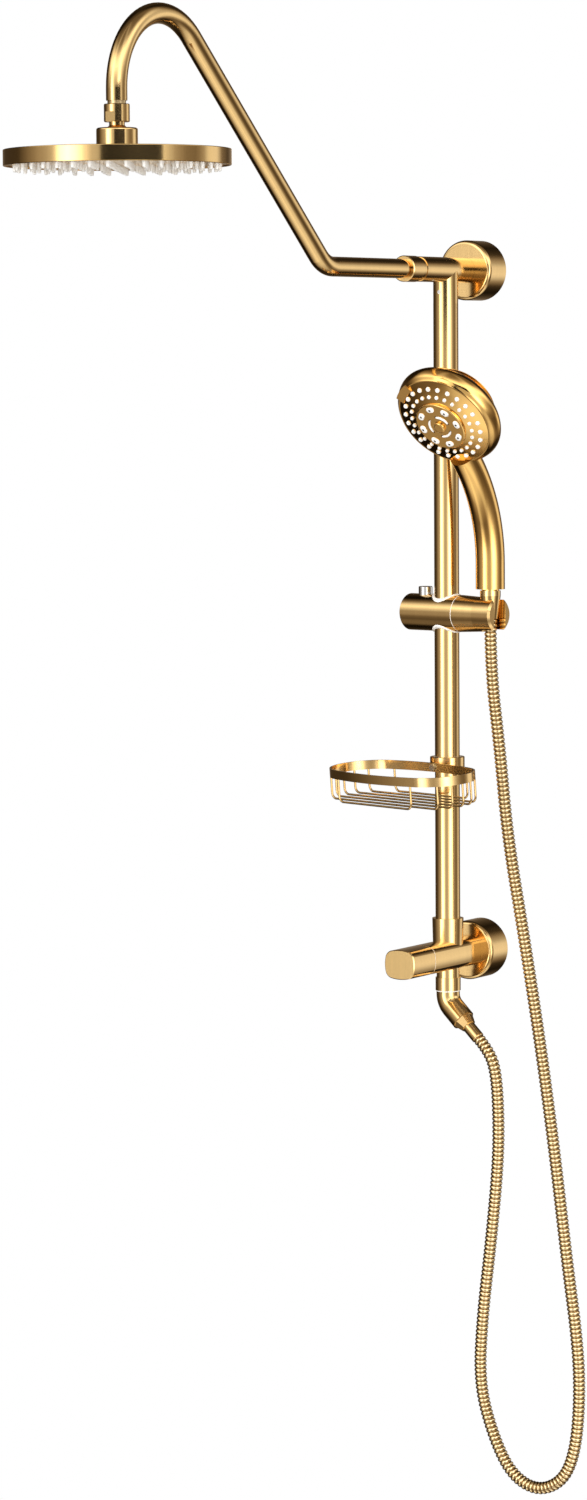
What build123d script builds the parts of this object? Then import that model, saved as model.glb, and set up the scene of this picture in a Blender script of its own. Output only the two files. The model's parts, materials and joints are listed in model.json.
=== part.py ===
from build123d import *
import math
import os

# Wall-mounted rainfall shower column. Millimetres, +Z up, +Y into the wall, +X along the wall towards
# the hose. The origin is the centre of the water inlet, on the wall behind the lower flange.

# ---------------------------------------------------------------- layout
bar_offset = 68.0          # riser bar axis, out from the wall
bracket_height = 687.0     # upper flange axis above the inlet
arm_reach = 631.5          # rain head axis, out from the wall
arm_slope = 42.5           # rise of the arm's slanting stretch, degrees
arm_knee = 292.0           # where the arm starts to rise, out from the wall
head_underside = 770.5     # rim of the rain head above the inlet
slider_height = 345.0      # slider axis above the inlet
slider_turn = -9.5         # turn of the slider about the bar, degrees
shower_turn = -4.4         # way the hand shower faces, degrees from square to the wall
dish_height = 195.2        # top of the dish band at its rear
dish_turn = -17.0          # turn of the dish about the bar, degrees
dish_tip = 4.5             # forward lean of the dish, degrees

# ---------------------------------------------------------------- fits
fit = 0.05                 # radial clearance of pieces that are screwed or pushed together
running = 0.06             # radial clearance of pieces that turn or slide in each other
air = 0.3                  # gap between moving pieces that don't bear on each other

# ---------------------------------------------------------------- wall flanges
flange_radius = 30.0
flange_depth = 32.0
flange_wall = 2.0
flange_face = 2.5
flange_edge = 4.0

# ---------------------------------------------------------------- riser bar and tee
bar_radius = 12.5
bar_wall = 1.25
bar_bore = bar_radius - bar_wall
water_bore = 8.0
tee_front = 121.5          # shoulder of the tee, out from the wall
tee_back = 14.0
tee_spigot_radius = 10.9
tee_spigot_length = 16.5
tee_socket_depth = 33.4    # tee axis down to the seam with the bar
tee_shoulder = 11.0        # tee axis down to the end of the socket's bore
tee_blend = 3.0
joiner_wall = 2.6
joiner_down = 24.0         # how far the joiner reaches into the bar
o_ring_thickness = 1.6

# ---------------------------------------------------------------- upper wall bracket
bracket_plate_radius = 22.0
bracket_plate = 4.0
bracket_boss_radius = 8.0
bracket_boss_end = 26.0
bracket_screw_spacing = 30.0
bracket_screw_hole = 2.4
grub_radius = 2.0
grub_length = 3.6

# ---------------------------------------------------------------- arm
arm_radius = 9.525
arm_wall = 1.2
arm_bend = 38.0
arm_crook = 70.0
arm_end = 828.0
arm_insert = 20.0          # length of arm tube inside the tee
gland_ring_length = 6.1
gland_ring_radius = 11.9
arm_nut_radius = 12.9
arm_nut_length = 20.6
nipple_groove = 3.0
nipple_end = 813.0
nipple_wall = 1.6
nipple_insert = 10.0        # length of nipple inside the arm

# ---------------------------------------------------------------- ball swivel and rain head
ball_radius = 11.0
ball_centre = 797.5
ball_foot = 790.0
ball_neck_radius = 7.0
ball_bore = 4.5
swivel_nut_radius = 11.5
swivel_nut_foot = 809.0
swivel_nut_seat = 812.0
swivel_flat = 10.4         # half the width over the nut's spanner flats
swivel_flat_height = 9.0
cup_radius = 18.5
cup_top = 804.0
cup_thread_radius = 16.0
seat_wall = 1.7
seat_low = 787.0
seat_high = 792.0
head_radius = 101.6
head_height = 14.5
head_wall = 1.5
head_top = head_underside + head_height
spigot_height = 6.5
spigot_wall = 2.0
face_plate = 1.5
face_recess = 1.0
nozzle_rings = 6
nozzle_ring_step = 15.2
nozzle_radius = 2.1
nozzle_tip_radius = 1.5
nozzle_reach = 6.0         # how far the nozzles stand out of the face
mat_thickness = 1.5

# ---------------------------------------------------------------- slider and cradle
slider_radius = 18.5
slider_left = 48.0         # bar axis to the slider's closed end
slider_seam = 20.0         # bar axis to the seam between slider and cradle
cradle_right = 69.0
cradle_end_radius = 17.3
cradle_rounding = 2.0
cradle_taper_end = 46.0
slider_chamfer = 1.2
liner_wall = 2.0
liner_proud = 1.0
seam_washer = 0.8
pivot_radius = 5.0
pivot_tip = 40.0
button_radius = 7.0
button_place = 28.0        # bar axis to the button, towards the closed end
button_rise = 26.0         # slider axis to the button's top
button_length = 20.0
button_travel = 3.0
spring_radius = 5.2
spring_wire = 0.5
spring_turns = 4
spring_length = 10.0
brake_radius = 3.5
brake_inner = 15.0
brake_outer = 20.5

# ---------------------------------------------------------------- hand shower
socket_place = 57.0        # bar axis to the cradle's cone socket
cone_top = 24.0            # all heights here are above the slider axis
cone_shoulder = 19.0
cone_foot = -4.0
cone_top_radius = 10.3
cone_foot_radius = 7.4
slot_width = 17.5          # slot in the cradle's end that lets the hose in
handle_foot = 25.6
handle_radius = 14.5
handle_straight = 51.2
handle_bend = 153.5
handle_sweep = 48.0        # degrees of bend up to the head
handle_bore = 7.0
thread_radius = 8.6
thread_length = 9.0
face_forward = 77.9        # socket axis to the centre of the spray face
face_height = 192.6
face_dip = 37.0            # spray face below level, degrees
dial_radius = 48.4
rim_lip = 1.1
# Outside of the round head behind its rim: radius, as a share of the rim's, and depth.
head_outline = ((1.054, 3), (1.096, 7), (1.114, 12), (1.054, 18.5), (0.884, 25), (0.602, 31), (0, 36))
chamber_radius = 42.0
chamber_depth = 20.0
dial_recess = 8.0
dial_crown = 8.5           # how far the dial's middle stands out of its rim
hub_radius = 6.0
hub_reach = 2.6
centre_plate_radius = 27.0
centre_plate_rise = 0.3
lever_width = 22.0
lever_inner = 44.0
lever_outer = 52.6
lever_side = 133.0         # direction of the lever about the dial axis, degrees
lever_rise = 0.4           # gap under the lever where it passes over the shell's edge
lever_thickness = 1.8
oval_ring = 20.9
oval_count = 8
oval_start = 8.0           # direction of the first oval nozzle, degrees
oval_length = 9.0
oval_width = 6.2
arc_ring = 11.6
arc_count = 3
arc_start = 20.0           # direction of the first curved slot's beginning, degrees
arc_span = 70.0
arc_width = 2.6
# Rows of small nozzles on the dial: ring radius, count, nozzle radius, direction of the first.
fine_nozzle_rows = ((33.3, 24, 1.9, 2.0), (41.2, 24, 2.3, 0.0))

# ---------------------------------------------------------------- diverter
body_width = 34.6
body_tall = 29.7
body_back = 24.0
body_front = 119.6
collar_top = 37.3
collar_top_radius = 15.8
collar_foot_radius = 15.0
collar_blend = 2.0
bar_foot = 20.0
inlet_thread_radius = 9.316
inlet_thread_depth = 12.0
union_radius = 15.0
union_length = 23.0
tail_radius = 10.0
tail_length = 9.0
inlet_bore = 6.5
cartridge_radius = 11.0
cartridge_back = 86.0
cartridge_front = 115.0
retainer_bore = 6.0
glide_ring = 0.8
spindle_radius = 4.0
spindle_back = 100.0
spindle_front = 148.0
knob_end = 161.5
knob_wall = 2.5
knob_edge = 0.8
knob_boss_radius = 7.0
neck_radius = 11.6
neck_foot = -23.0
outlet_radius = 12.7
outlet_foot = -36.0
outlet_bore = 6.0
elbow_radius = 11.8
elbow_straight = -39.5
elbow_bend = 18.0
elbow_turn = 50.0
elbow_run = 18.3
elbow_swing = -10.0        # turn of the elbow about the bar, degrees
seam_ring = 1.0
hose_nut_length = 9.0
hose_nut_radius = 10.0
hose_nut_tip_radius = 7.2
ferrule_length = 16.0
ferrule_radius = 6.5
ferrule_bore = 4.5

# ---------------------------------------------------------------- hose
hose_radius = 6.25
run_share = 0.45           # share of the shorter run that each arc's tangent takes
hose_lead = 50.0           # straight below the cone nut
hose_tail = 18.0           # straight in front of the ferrule

# ---------------------------------------------------------------- soap dish
dish_length = 181.0
dish_depth = 87.0
dish_end_radius = 38.0
dish_gap = 18.0            # bar axis to the rear of the band
band_height = 9.0
band_thickness = 1.8
basket_depth = 31.5
wire_radius = 1.1
wire_rows = 7
wire_pitch = 12.5
wire_bend = 6.0
sleeve_wall = 1.0
dish_collar_radius = 17.4
dish_collar_foot = 186.0
dish_collar_top = 200.7
dish_screw_radius = 2.0

os.makedirs("parts", exist_ok=True)


# ---------------------------------------------------------------- helpers
def finish(name, piece):
    """Labels a finished piece and writes it to its own file."""
    piece.part.label = name
    export_step(piece.part, f"parts/{name}.step")


def towards_room(distance, height=0.0):
    """A plane parallel to the wall, on the bar's line, whose normal points into the room."""
    return Plane(origin=(0, -distance, height), x_dir=(1, 0, 0), z_dir=(0, -1, 0))


def level_at(height, x=0.0, y=-bar_offset):
    """A level plane, centred on the bar unless it is given another place."""
    return Plane(origin=(x, y, height), x_dir=(1, 0, 0), z_dir=(0, 0, 1))


def tube(plane, outer, inner, length):
    """A plain ring, washer, sleeve or straight tube that stands on a plane."""
    with BuildPart() as piece:
        with BuildSketch(plane):
            Circle(outer)
            if inner:
                Circle(inner, mode=Mode.SUBTRACT)
        extrude(amount=length)
    return piece


def o_ring(plane, radius, thickness):
    """A round-section rubber ring, its middle circle on a plane."""
    section = Plane(origin=plane.origin + plane.x_dir * radius, x_dir=plane.x_dir, z_dir=-plane.y_dir)
    with BuildPart() as piece:
        with BuildSketch(section):
            Circle(thickness / 2)
        revolve(axis=Axis(plane.origin, plane.z_dir))
    return piece


def grub_screw(plane, radius, length):
    """A headless screw with a hexagon socket in its outer end."""
    with BuildPart() as piece:
        with BuildSketch(plane):
            Circle(radius)
        extrude(amount=length)
        with BuildSketch(plane.offset(length)):
            RegularPolygon(radius * 0.55, 6)
        extrude(amount=-length / 2, mode=Mode.SUBTRACT)
    return piece


def body_section(grow=0.0):
    """Outline of the diverter and its knob, an oblong with bulging sides."""
    half_wide = body_width / 2 + grow
    half_tall = body_tall / 2 + grow
    side_x, side_y = 0.933 * half_wide, 0.572 * half_tall
    corner_x, corner_y = 0.794 * half_wide, 0.794 * half_tall
    top_x, top_y = 0.607 * half_wide, 0.919 * half_tall
    with BuildSketch() as outline:
        with BuildLine():
            for x, y in ((1, 1), (-1, 1), (-1, -1), (1, -1)):
                ThreePointArc((x * top_x, y * top_y), (x * corner_x, y * corner_y), (x * side_x, y * side_y))
            for way in (1, -1):
                ThreePointArc((way * side_x, -side_y), (way * half_wide, 0), (way * side_x, side_y))
                ThreePointArc((-top_x, way * top_y), (0, way * half_tall), (top_x, way * top_y))
        make_face()
    return outline


# ================================================================ wall side
def wall_flange(height, opening):
    """A deep round cover; opening draws the hole in its face."""
    with BuildPart() as piece:
        with BuildSketch(towards_room(0, height)):
            Circle(flange_radius)
        extrude(amount=flange_depth)
        fillet(piece.edges().filter_by(GeomType.CIRCLE).sort_by(Axis.Y)[0], flange_edge)
        with BuildSketch(towards_room(0, height)):
            Circle(flange_radius - flange_wall)
        extrude(amount=flange_depth - flange_face, mode=Mode.SUBTRACT)
        with BuildSketch(towards_room(flange_depth, height)):
            opening()
        extrude(amount=-flange_face, mode=Mode.SUBTRACT)
    return piece


finish("upper_wall_flange", wall_flange(bracket_height, lambda: Circle(bar_radius + fit)))
finish(
    "lower_wall_flange",
    wall_flange(0, lambda: add(body_section(fit).sketch)),
)

with BuildPart() as upper_wall_bracket:
    with BuildSketch(towards_room(0, bracket_height)):
        Circle(bracket_plate_radius)
        with GridLocations(bracket_screw_spacing, 0, 2, 1):
            Circle(bracket_screw_hole, mode=Mode.SUBTRACT)
    extrude(amount=bracket_plate)
    with BuildSketch(towards_room(bracket_plate, bracket_height)):
        Circle(bracket_boss_radius)
    extrude(amount=bracket_boss_end - bracket_plate)
finish("upper_wall_bracket", upper_wall_bracket)

# The screw that pins the tee to its bracket stands below the boss, inside the flange.
bracket_grub_place = (tee_back + bracket_boss_end) / 2
bracket_grub_plane = Plane(
    origin=(0, -bracket_grub_place, bracket_height - bracket_boss_radius - fit),
    x_dir=(1, 0, 0),
    z_dir=(0, 0, -1),
)
finish("bracket_grub_screw", grub_screw(bracket_grub_plane, grub_radius, grub_length))

# ================================================================ upper tee
seam_height = bracket_height - tee_socket_depth
socket_top = bracket_height - tee_shoulder
arm_bore = arm_radius + fit

tee_grub_height = (seam_height + socket_top) / 2
tee_grub_plane = towards_room(bar_offset, tee_grub_height)

with BuildPart() as upper_tee:
    with BuildSketch(towards_room(tee_back, bracket_height)):
        Circle(bar_radius)
    extrude(amount=tee_front - tee_back)
    with BuildSketch(level_at(seam_height)):
        Circle(bar_radius - fit)
    extrude(amount=tee_socket_depth)
    with BuildSketch(towards_room(tee_front, bracket_height)):
        Circle(tee_spigot_radius)
    extrude(amount=tee_spigot_length)
    with BuildSketch(towards_room(tee_back, bracket_height)):
        Circle(bracket_boss_radius + fit)
    extrude(amount=bracket_boss_end - tee_back + fit, mode=Mode.SUBTRACT)
    with BuildSketch(towards_room(tee_front + tee_spigot_length, bracket_height)):
        Circle(arm_bore)
    extrude(amount=-(tee_spigot_length + arm_insert), mode=Mode.SUBTRACT)
    with BuildSketch(towards_room(bar_offset, bracket_height)):
        Circle(water_bore)
    extrude(amount=tee_front - bar_offset, mode=Mode.SUBTRACT)
    with BuildSketch(level_at(seam_height)):
        Circle(bar_bore)
    extrude(amount=socket_top - seam_height, mode=Mode.SUBTRACT)
    with BuildSketch(level_at(socket_top)):
        Circle(water_bore)
    extrude(amount=tee_shoulder, mode=Mode.SUBTRACT)
    with BuildSketch(tee_grub_plane):
        Circle(grub_radius + fit)
    extrude(amount=bar_radius, mode=Mode.SUBTRACT)
    with BuildSketch(bracket_grub_plane):
        Circle(grub_radius + fit)
    extrude(amount=bar_radius, mode=Mode.SUBTRACT)
finish("upper_tee", upper_tee)

# The joiner is a short sleeve inside the bar and the tee's socket, which meet end to end.
joiner_radius = bar_bore - fit
finish(
    "bar_joiner",
    tube(level_at(seam_height - joiner_down), joiner_radius, joiner_radius - joiner_wall,
         joiner_down + socket_top - seam_height),
)
grub_reach = bar_radius - joiner_radius - fit
finish(
    "tee_grub_screw",
    grub_screw(tee_grub_plane.offset(joiner_radius + fit), grub_radius, grub_reach - 0.1),
)

# ================================================================ arm gland
finish(
    "arm_gland_ring",
    tube(towards_room(tee_front, bracket_height), gland_ring_radius, tee_spigot_radius + fit, gland_ring_length),
)

nut_back = tee_front + gland_ring_length
nut_front = nut_back + arm_nut_length
spigot_end = tee_front + tee_spigot_length
arm_ring_space = 2.2
arm_ring_place = spigot_end + arm_ring_space / 2

with BuildPart() as arm_nut:
    with BuildSketch(towards_room(nut_back, bracket_height)):
        Circle(arm_nut_radius)
    extrude(amount=arm_nut_length)
    chamfer(arm_nut.edges().filter_by(GeomType.CIRCLE), 0.8)
    with BuildSketch(towards_room(nut_back, bracket_height)):
        Circle(tee_spigot_radius + fit)
    extrude(amount=spigot_end + arm_ring_space - nut_back, mode=Mode.SUBTRACT)
    with BuildSketch(towards_room(nut_front, bracket_height)):
        Circle(arm_bore)
    extrude(amount=-arm_nut_length, mode=Mode.SUBTRACT)
    with BuildSketch(towards_room(nut_front, bracket_height)):
        Circle(arm_bore + 1.6)
    extrude(amount=-1.2, mode=Mode.SUBTRACT)
finish("arm_nut", arm_nut)
finish(
    "arm_seal",
    tube(towards_room(spigot_end + fit, bracket_height), tee_spigot_radius - fit, arm_bore, arm_ring_space - 2 * fit),
)

# ================================================================ arm
arm_side = Plane(origin=(0, 0, 0), x_dir=(0, -1, 0), z_dir=(1, 0, 0))
crook_apex = bracket_height + (arm_reach - arm_knee) * math.tan(math.radians(arm_slope))
arm_start = tee_front - arm_insert + fit


def arm_sweep(radius):
    """A rod of this radius along the arm's path."""
    with BuildPart() as piece:
        with BuildLine(Plane(origin=(0, 0, 0), x_dir=(0, -1, 0), z_dir=(-1, 0, 0))) as path:
            FilletPolyline(
                (arm_start, bracket_height),
                (arm_knee, bracket_height),
                (arm_reach, crook_apex),
                (arm_reach, arm_end),
                radius=(arm_bend, arm_crook),
            )
        with BuildSketch(towards_room(arm_start, bracket_height)):
            Circle(radius)
        sweep(path=path.wire())
    return piece


arm_rod = arm_sweep(arm_radius)
arm_core = arm_sweep(arm_radius - arm_wall)
with BuildPart() as rain_arm:
    add(arm_rod.part)
    add(arm_core.part, mode=Mode.SUBTRACT)
finish("rain_arm", rain_arm)

nipple_radius = arm_radius - arm_wall - fit
swivel_axis = -arm_reach
finish(
    "arm_nipple",
    tube(level_at(nipple_end, y=swivel_axis), nipple_radius, nipple_radius - nipple_wall,
         arm_end - nipple_end + nipple_insert),
)

# ================================================================ ball swivel
swivel_nut_top = arm_end - nipple_groove
with BuildPart() as swivel_nut:
    with BuildSketch(level_at(swivel_nut_foot, y=swivel_axis)):
        Circle(swivel_nut_radius)
    extrude(amount=swivel_nut_top - swivel_nut_foot)
    chamfer(swivel_nut.edges().filter_by(GeomType.CIRCLE), 0.6)
    with BuildSketch(level_at(swivel_nut_foot, y=swivel_axis)) as flats:
        with Locations((0, swivel_flat + swivel_nut_radius / 2), (0, -swivel_flat - swivel_nut_radius / 2)):
            Rectangle(2 * swivel_nut_radius, swivel_nut_radius, rotation=0)
    extrude(amount=swivel_flat_height, mode=Mode.SUBTRACT)
    with BuildSketch(level_at(swivel_nut_foot, y=swivel_axis)):
        Circle(ball_neck_radius + fit)
    extrude(amount=swivel_nut_top - swivel_nut_foot, mode=Mode.SUBTRACT)
    with BuildSketch(level_at(swivel_nut_seat, y=swivel_axis)):
        Circle(nipple_radius + fit)
    extrude(amount=swivel_nut_top - swivel_nut_seat, mode=Mode.SUBTRACT)
finish("swivel_nut", swivel_nut)
finish(
    "arm_filter_washer",
    tube(level_at(swivel_nut_seat + 0.1, y=swivel_axis), nipple_radius - fit, ball_bore, 0.8),
)

swivel_side = Plane(origin=(0, swivel_axis, 0), x_dir=(1, 0, 0), z_dir=(0, -1, 0))
swivel_line = Axis((0, swivel_axis, 0), (0, 0, 1))


def ball_shell(outer, inner, low, high, bore):
    """What lies between two spheres about the swivel's centre, between two heights and outside a bore."""
    with BuildPart() as piece:
        with BuildSketch(level_at(low, y=swivel_axis)):
            Circle(outer)
            if bore:
                Circle(bore, mode=Mode.SUBTRACT)
        extrude(amount=high - low)
        with Locations((0, swivel_axis, ball_centre)):
            Sphere(outer, mode=Mode.INTERSECT)
            if inner:
                Sphere(inner, mode=Mode.SUBTRACT)
    return piece


ball_crown = ball_centre + math.sqrt(ball_radius ** 2 - ball_neck_radius ** 2)
with BuildPart() as swivel_ball:
    with Locations((0, swivel_axis, ball_centre)):
        Sphere(ball_radius)
    with BuildSketch(level_at(ball_centre, y=swivel_axis)):
        Circle(ball_neck_radius)
    extrude(amount=swivel_nut_seat - ball_centre)
    with BuildSketch(level_at(ball_centre - ball_radius, y=swivel_axis)):
        Circle(ball_radius)
    extrude(amount=ball_foot - ball_centre + ball_radius, mode=Mode.SUBTRACT)
    with BuildSketch(level_at(ball_foot, y=swivel_axis)):
        Circle(ball_bore)
    extrude(amount=swivel_nut_seat - ball_foot, mode=Mode.SUBTRACT)
finish("swivel_ball", swivel_ball)

seat_inner = ball_radius + air
seat_outer = seat_inner + seat_wall
finish("ball_seat", ball_shell(seat_outer, seat_inner, seat_low, seat_high, 6.5))

cup_mouth = cup_top - ball_centre
with BuildPart() as swivel_cup:
    with BuildSketch(level_at(head_top, y=swivel_axis)):
        Circle(cup_radius)
    extrude(amount=cup_top - head_top)
    fillet(swivel_cup.edges().filter_by(GeomType.CIRCLE).sort_by(Axis.Z)[-1], 2.0)
    with Locations((0, swivel_axis, ball_centre)):
        Sphere(seat_inner, mode=Mode.SUBTRACT)
    with BuildSketch(level_at(head_top, y=swivel_axis)):
        Circle(cup_thread_radius)
    extrude(amount=spigot_height + 1.0, mode=Mode.SUBTRACT)
    with BuildSketch(level_at(head_top, y=swivel_axis)):
        Circle(seat_outer + air)
    extrude(amount=ball_centre - head_top - 1.0, mode=Mode.SUBTRACT)
finish("swivel_cup", swivel_cup)

# ================================================================ rain head
with BuildPart() as rain_head_shell:
    with BuildSketch(level_at(head_underside, y=swivel_axis)):
        Circle(head_radius)
    extrude(amount=head_height)
    fillet(rain_head_shell.edges().filter_by(GeomType.CIRCLE), 0.7)
    with BuildSketch(level_at(head_underside, y=swivel_axis)):
        Circle(head_radius - head_wall)
    extrude(amount=head_height - head_wall, mode=Mode.SUBTRACT)
    with BuildSketch(level_at(head_top, y=swivel_axis)):
        Circle(cup_thread_radius - fit)
        Circle(cup_thread_radius - fit - spigot_wall, mode=Mode.SUBTRACT)
    extrude(amount=spigot_height)
    with BuildSketch(level_at(head_top - head_wall, y=swivel_axis)):
        Circle(6.0)
    extrude(amount=head_wall, mode=Mode.SUBTRACT)
finish("rain_head_shell", rain_head_shell)

face_low = head_underside + face_recess
face_radius = head_radius - head_wall - fit


def rain_nozzle_places():
    """One nozzle in the middle and six more on each ring outwards."""
    yield PolarLocations(0, 1)
    for ring in range(1, nozzle_rings + 1):
        yield PolarLocations(ring * nozzle_ring_step, 6 * ring)


with BuildPart() as rain_face_plate:
    with BuildSketch(level_at(face_low, y=swivel_axis)):
        Circle(face_radius)
        for places in rain_nozzle_places():
            with places:
                Circle(nozzle_radius + fit, mode=Mode.SUBTRACT)
    extrude(amount=face_plate)
finish("rain_face_plate", rain_face_plate)

mat_low = face_low + face_plate
with BuildPart() as rain_nozzle_mat:
    with BuildSketch(level_at(mat_low, y=swivel_axis)):
        Circle(face_radius - 2.0)
    extrude(amount=mat_thickness)
    with BuildSketch(level_at(face_low, y=swivel_axis)):
        for places in rain_nozzle_places():
            with places:
                Circle(nozzle_radius)
    extrude(amount=face_plate)
    with BuildSketch(level_at(face_low, y=swivel_axis)):
        for places in rain_nozzle_places():
            with places:
                Circle(nozzle_tip_radius)
    extrude(amount=-nozzle_reach)
finish("rain_nozzle_mat", rain_nozzle_mat)
finish(
    "rain_mat_seal",
    o_ring(level_at(mat_low + mat_thickness + 1.3, y=swivel_axis), face_radius - 4.0, 2.4),
)

# ================================================================ riser bar
finish("riser_bar", tube(level_at(bar_foot), bar_radius, bar_bore, seam_height - bar_foot))

# ================================================================ slider
turn = math.radians(slider_turn)
along = Vector(math.cos(turn), math.sin(turn), 0)       # slider axis, towards the hand shower
outward = Vector(math.sin(turn), -math.cos(turn), 0)    # square to it, into the room
up = Vector(0, 0, 1)
slider_centre = Vector(0, -bar_offset, slider_height)
socket_centre = slider_centre + along * socket_place


def across_slider(distance):
    """A plane square to the slider axis; its first axis is up and its second points into the room."""
    return Plane(origin=slider_centre + along * distance, x_dir=up, z_dir=along)


def above_socket(height):
    """A level plane centred on the cone socket, turned with the slider."""
    return Plane(origin=socket_centre + up * height, x_dir=along, z_dir=up)


def above_slider(place, height):
    """A level plane over the slider axis, turned with the slider."""
    return Plane(origin=slider_centre + along * place + up * height, x_dir=along, z_dir=up)


liner_radius = bar_radius + running + liner_wall
pivot_root = liner_radius + running + 0.6
liner_hug = slider_radius + liner_proud
with BuildPart() as slider_liner:
    with BuildSketch(level_at(slider_height - slider_radius - liner_proud)):
        Circle(liner_radius)
    extrude(amount=2 * (slider_radius + liner_proud))
    with BuildSketch(across_slider(-liner_radius - 1)):
        Circle(liner_hug)
    extrude(amount=2 * liner_radius + 2, mode=Mode.INTERSECT)
    with BuildSketch(level_at(slider_height - slider_radius - liner_proud)):
        Circle(bar_radius + running)
    extrude(amount=2 * (slider_radius + liner_proud), mode=Mode.SUBTRACT)
finish("slider_liner", slider_liner)

button_foot = button_rise - button_length
spring_seat = button_foot - spring_length
with BuildPart() as slider_body:
    with BuildSketch(across_slider(-slider_left)):
        Circle(slider_radius)
    extrude(amount=slider_left + slider_seam - seam_washer / 2)
    closed_end = slider_body.edges().filter_by(GeomType.CIRCLE).sort_by(Axis(slider_centre, along))[0]
    chamfer(closed_end, slider_chamfer)
    with BuildSketch(level_at(slider_height - slider_radius)):
        Circle(liner_radius + running)
    extrude(amount=2 * slider_radius, mode=Mode.SUBTRACT)
    with BuildSketch(above_slider(-button_place, spring_seat - fit)):
        Circle(button_radius + running)
    extrude(amount=slider_radius - spring_seat + fit, mode=Mode.SUBTRACT)
    with BuildSketch(across_slider(pivot_root)):
        Circle(pivot_radius + fit)
    extrude(amount=slider_seam - pivot_root, mode=Mode.SUBTRACT)
    with BuildSketch(across_slider(-brake_outer)):
        Circle(brake_radius + fit)
    extrude(amount=brake_outer - bar_radius, mode=Mode.SUBTRACT)
finish("slider_body", slider_body)

with BuildPart() as release_button:
    with BuildSketch(above_slider(-button_place, button_foot)):
        Circle(button_radius)
    extrude(amount=button_length)
    fillet(release_button.edges().filter_by(GeomType.CIRCLE).sort_by(Axis.Z)[-1], 1.0)
finish("release_button", release_button)

# The return spring is drawn as its closed coils, one ring above another.
coil_pitch = (spring_length - 2 * spring_wire - 0.4) / spring_turns
with BuildPart() as release_spring:
    for coil in range(spring_turns + 1):
        coil_height = spring_seat + spring_wire + 0.1 + coil * coil_pitch
        coil_centre = slider_centre - along * button_place + up * coil_height
        with BuildSketch(Plane(origin=coil_centre + along * spring_radius, x_dir=along, z_dir=outward)):
            Circle(spring_wire)
        revolve(axis=Axis(coil_centre, up))
finish("release_spring", release_spring)

finish("brake_shoe", tube(across_slider(-brake_outer), brake_radius, 0, brake_outer - liner_radius - running - air))

with BuildPart() as pivot_stud:
    with BuildSketch(across_slider(pivot_root)):
        Circle(pivot_radius)
    extrude(amount=pivot_tip - pivot_root)
finish("pivot_stud", pivot_stud)
finish(
    "seam_washer",
    tube(across_slider(slider_seam - seam_washer / 2), slider_radius - 0.2, pivot_radius + fit, seam_washer - fit),
)

# ================================================================ cradle
cradle_left = slider_seam + seam_washer / 2 + air / 3
cone_slope = (cone_top_radius - cone_foot_radius) / (cone_shoulder - cone_foot)


def cone_radius(height):
    """Radius of the hose's cone nut at a height above the slider axis."""
    return cone_foot_radius + cone_slope * (height - cone_foot)


cradle_side = Plane(origin=slider_centre, x_dir=along, z_dir=-outward)
with BuildPart() as cradle:
    with BuildSketch(cradle_side):
        with BuildLine():
            Polyline(
                (cradle_left, 0),
                (cradle_left, slider_radius),
                (cradle_taper_end, cradle_end_radius),
                (cradle_right - cradle_rounding, cradle_end_radius),
                (cradle_right, cradle_end_radius - cradle_rounding),
                (cradle_right, 0),
                (cradle_left, 0),
            )
        make_face()
    revolve(axis=Axis(slider_centre, along))
    with BuildSketch(across_slider(cradle_left)):
        Circle(pivot_radius + running)
    extrude(amount=pivot_tip + air - cradle_left, mode=Mode.SUBTRACT)
    with BuildSketch(above_socket(cone_foot)):
        Circle(cone_radius(cone_foot) + air)
    with BuildSketch(above_socket(cone_shoulder)):
        Circle(cone_radius(cone_shoulder) + air)
    loft(mode=Mode.SUBTRACT)
    with BuildSketch(above_socket(-slider_radius)):
        Circle(slot_width / 2)
        with Locations((slider_radius, 0)):
            Rectangle(2 * slider_radius, slot_width)
    extrude(amount=2 * slider_radius, mode=Mode.SUBTRACT)
finish("cradle", cradle)

# ================================================================ hand shower
facing = math.radians(shower_turn)
dip = math.radians(face_dip)
shower_across = Vector(math.cos(facing), math.sin(facing), 0)
shower_forward = Vector(math.sin(facing), -math.cos(facing), 0)
face_normal = shower_forward * math.cos(dip) - up * math.sin(dip)
face_centre = socket_centre + shower_forward * face_forward + up * face_height
face_axis = Axis(face_centre, face_normal)
shower_side = Plane(origin=socket_centre, x_dir=shower_forward, z_dir=-shower_across)
# Profiles of the round head are drawn beside its axis: radius first, then depth behind the rim.
head_profile = Plane(origin=face_centre, x_dir=shower_across, z_dir=shower_across.cross(-face_normal))


def face_plane(depth=0.0):
    """A plane parallel to the spray face, this far behind its rim."""
    return Plane(origin=face_centre - face_normal * depth, x_dir=shower_across, z_dir=face_normal)


def handle_rod(radius, start):
    """A rod along the handle's curve, from a height up into the head."""
    with BuildPart() as piece:
        with BuildLine(shower_side) as path:
            Line((0, start), (0, handle_straight))
            CenterArc((handle_bend, handle_straight), handle_bend, 180, -handle_sweep)
        with BuildSketch(above_socket(start)):
            Circle(radius)
        sweep(path=path.wire())
    return piece


handle_outside = handle_rod(handle_radius, handle_foot)
handle_inside = handle_rod(handle_bore, handle_foot)
rim_radius = dial_radius + air + rim_lip
head_points = [(share * rim_radius, depth) for share, depth in head_outline]

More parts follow.
